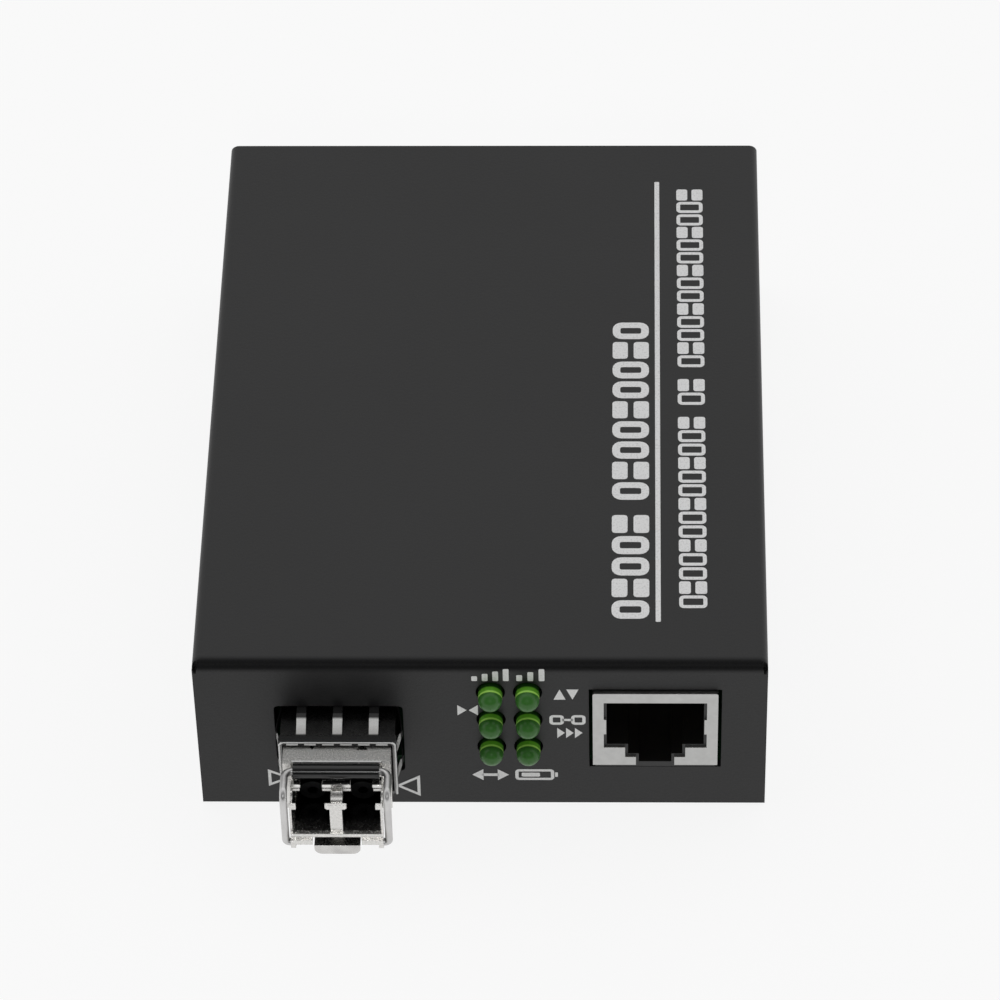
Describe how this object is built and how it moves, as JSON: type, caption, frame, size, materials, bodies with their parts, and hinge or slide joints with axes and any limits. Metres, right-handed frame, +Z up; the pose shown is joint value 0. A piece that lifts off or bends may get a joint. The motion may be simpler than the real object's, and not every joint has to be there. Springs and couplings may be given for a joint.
{
  "type": "fibre media converter",
  "caption": "Small dark sheet-metal network box with a copper socket, indicator lamps and a plug-in duplex optical module with a wire bail.",
  "frame": {"origin": "middle of the case's flat underside", "axes": "+X to the right facing the front panel, +Y to the rear, +Z up"},
  "size_m": [0.071, 0.1075, 0.026],
  "materials": {
    "powder_coat": "matte charcoal powder coat",
    "zinc_screws": "zinc plated",
    "board": "green solder mask",
    "nickel_sheet": "nickel plated sheet",
    "black_plastic": "black moulding",
    "gold": "gold plated",
    "tin": "tinned",
    "can": "satin can",
    "lamp": "clear green",
    "die_cast": "plated die casting",
    "barrel": "turned steel",
    "bail_steel": "polished wire",
    "lever_steel": "stamped"
  },
  "bodies": {
    "case": {"base_pan": "powder_coat", "board_screws": "zinc_screws", "board_standoffs": "zinc_screws", "bulk_capacitor": "can", "cage_latch_tab": "nickel_sheet", "cage_spring_collar": "nickel_sheet", "chip_parts": "black_plastic", "circuit_board": "board", "cover_screws": "zinc_screws", "cover_shell": "powder_coat", "inlet_body": "black_plastic", "inlet_pin": "tin", "inlet_spring": "tin", "lamp_holder": "black_plastic", "lamp_leads": "tin", "line_transformer": "black_plastic", "power_inductor": "black_plastic", "rj_contacts": "gold", "rj_housing": "black_plastic", "rj_shield": "nickel_sheet", "sfp_cage": "nickel_sheet", "sfp_host_connector": "black_plastic", "status_lamp_1": "lamp", "status_lamp_2": "lamp", "status_lamp_3": "lamp", "status_lamp_4": "lamp", "status_lamp_5": "lamp", "status_lamp_6": "lamp", "switch_chip": "black_plastic", "timing_crystal": "can", "voltage_regulator": "black_plastic"},
    "transceiver": {"module_housing": "die_cast", "module_cover": "nickel_sheet", "module_board": "board", "transmitter_barrel": "barrel", "receiver_barrel": "barrel"},
    "bail": {"bail_wire": "bail_steel", "bail_sleeve": "black_plastic"},
    "latch": {"latch_lever": "lever_steel"}
  },
  "joints": [
    {"name": "module_slide", "type": "slide", "parent": "case", "child": "transceiver", "axis": [0, -1, 0], "range_m": [0, 0.048], "deforming": ["cage_latch_tab"]},
    {"name": "bail_swing", "type": "hinge", "parent": "transceiver", "child": "bail", "pos_m": [-0.0177, -0.0594, 0.007], "axis": [1, 0, 0], "range_deg": [0, 90]},
    {"name": "latch_rock", "type": "hinge", "parent": "transceiver", "child": "latch", "pos_m": [-0.0177, -0.053, 0.0081], "axis": [1, 0, 0], "range_deg": [0, 6]}
  ],
  "couplings": [
    {"joint": "latch_rock", "follows": "bail_swing", "ratio": 0.0666}
  ]
}
